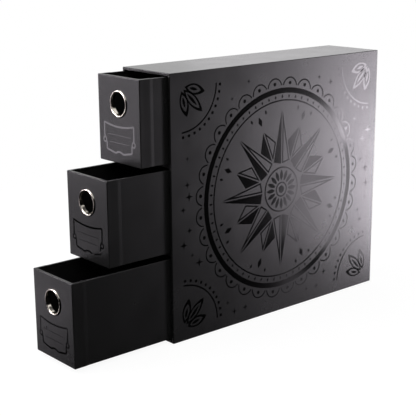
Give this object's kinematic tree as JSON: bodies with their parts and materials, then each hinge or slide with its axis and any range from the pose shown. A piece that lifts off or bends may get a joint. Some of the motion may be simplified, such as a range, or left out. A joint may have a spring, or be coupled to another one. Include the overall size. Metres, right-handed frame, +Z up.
{
  "type": "trading card storage box",
  "caption": "Upright slipcase of matt black paper-covered board. Open-topped drawers for sleeved cards, one above another, pull out of its end by metal-ringed finger holes.",
  "frame": {"origin": "centre of the case's underside, where it stands: the middle of its width and of its depth, without the drawers", "axes": "+X to the right as seen from the drawer fronts, +Y from the drawer fronts into the case, +Z up; drawers pull out towards -Y"},
  "size_m": [0.0852, 0.4768, 0.3121],
  "materials": {
    "laminated_paper": "black printed paper with a matt film",
    "lining_paper": "uncoated black paper",
    "lining_board": "black-faced board",
    "greyboard": "plain recycled greyboard",
    "plated_steel": "bright nickel plate"
  },
  "bodies": {
    "case": {"case_left_board": "greyboard", "case_right_board": "greyboard", "case_top_board": "greyboard", "case_bottom_board": "greyboard", "case_back_board": "greyboard", "case_cover_paper": "laminated_paper", "case_base_paper": "laminated_paper", "case_back_paper": "laminated_paper", "case_back_lining": "lining_board", "case_floor_lining": "lining_board", "bottom_bay_left_lining": "lining_board", "bottom_bay_right_lining": "lining_board", "middle_bay_left_lining": "lining_board", "middle_bay_right_lining": "lining_board", "middle_shelf_boards": "greyboard", "middle_shelf_paper": "lining_paper", "top_bay_left_lining": "lining_board", "top_bay_right_lining": "lining_board", "top_shelf_boards": "greyboard", "top_shelf_paper": "lining_paper"},
    "bottom_drawer": {"bottom_drawer_front_board": "greyboard", "bottom_drawer_back_board": "greyboard", "bottom_drawer_left_board": "greyboard", "bottom_drawer_right_board": "greyboard", "bottom_drawer_floor_board": "greyboard", "bottom_drawer_body_paper": "laminated_paper", "bottom_drawer_facing_paper": "laminated_paper", "bottom_drawer_lining": "lining_paper", "bottom_drawer_finger_ring": "plated_steel", "bottom_drawer_ring_washer": "plated_steel"},
    "middle_drawer": {"middle_drawer_front_board": "greyboard", "middle_drawer_back_board": "greyboard", "middle_drawer_left_board": "greyboard", "middle_drawer_right_board": "greyboard", "middle_drawer_floor_board": "greyboard", "middle_drawer_body_paper": "laminated_paper", "middle_drawer_facing_paper": "laminated_paper", "middle_drawer_lining": "lining_paper", "middle_drawer_finger_ring": "plated_steel", "middle_drawer_ring_washer": "plated_steel"},
    "top_drawer": {"top_drawer_front_board": "greyboard", "top_drawer_back_board": "greyboard", "top_drawer_left_board": "greyboard", "top_drawer_right_board": "greyboard", "top_drawer_floor_board": "greyboard", "top_drawer_body_paper": "laminated_paper", "top_drawer_facing_paper": "laminated_paper", "top_drawer_lining": "lining_paper", "top_drawer_finger_ring": "plated_steel", "top_drawer_ring_washer": "plated_steel"}
  },
  "joints": [
    {"name": "bottom_drawer_slide", "type": "slide", "parent": "case", "child": "bottom_drawer", "axis": [0, -1, 0], "range_m": [-0.1324, 0.2114]},
    {"name": "middle_drawer_slide", "type": "slide", "parent": "case", "child": "middle_drawer", "axis": [0, -1, 0], "range_m": [-0.0835, 0.2603]},
    {"name": "top_drawer_slide", "type": "slide", "parent": "case", "child": "top_drawer", "axis": [0, -1, 0], "range_m": [-0.0377, 0.3061]}
  ]
}
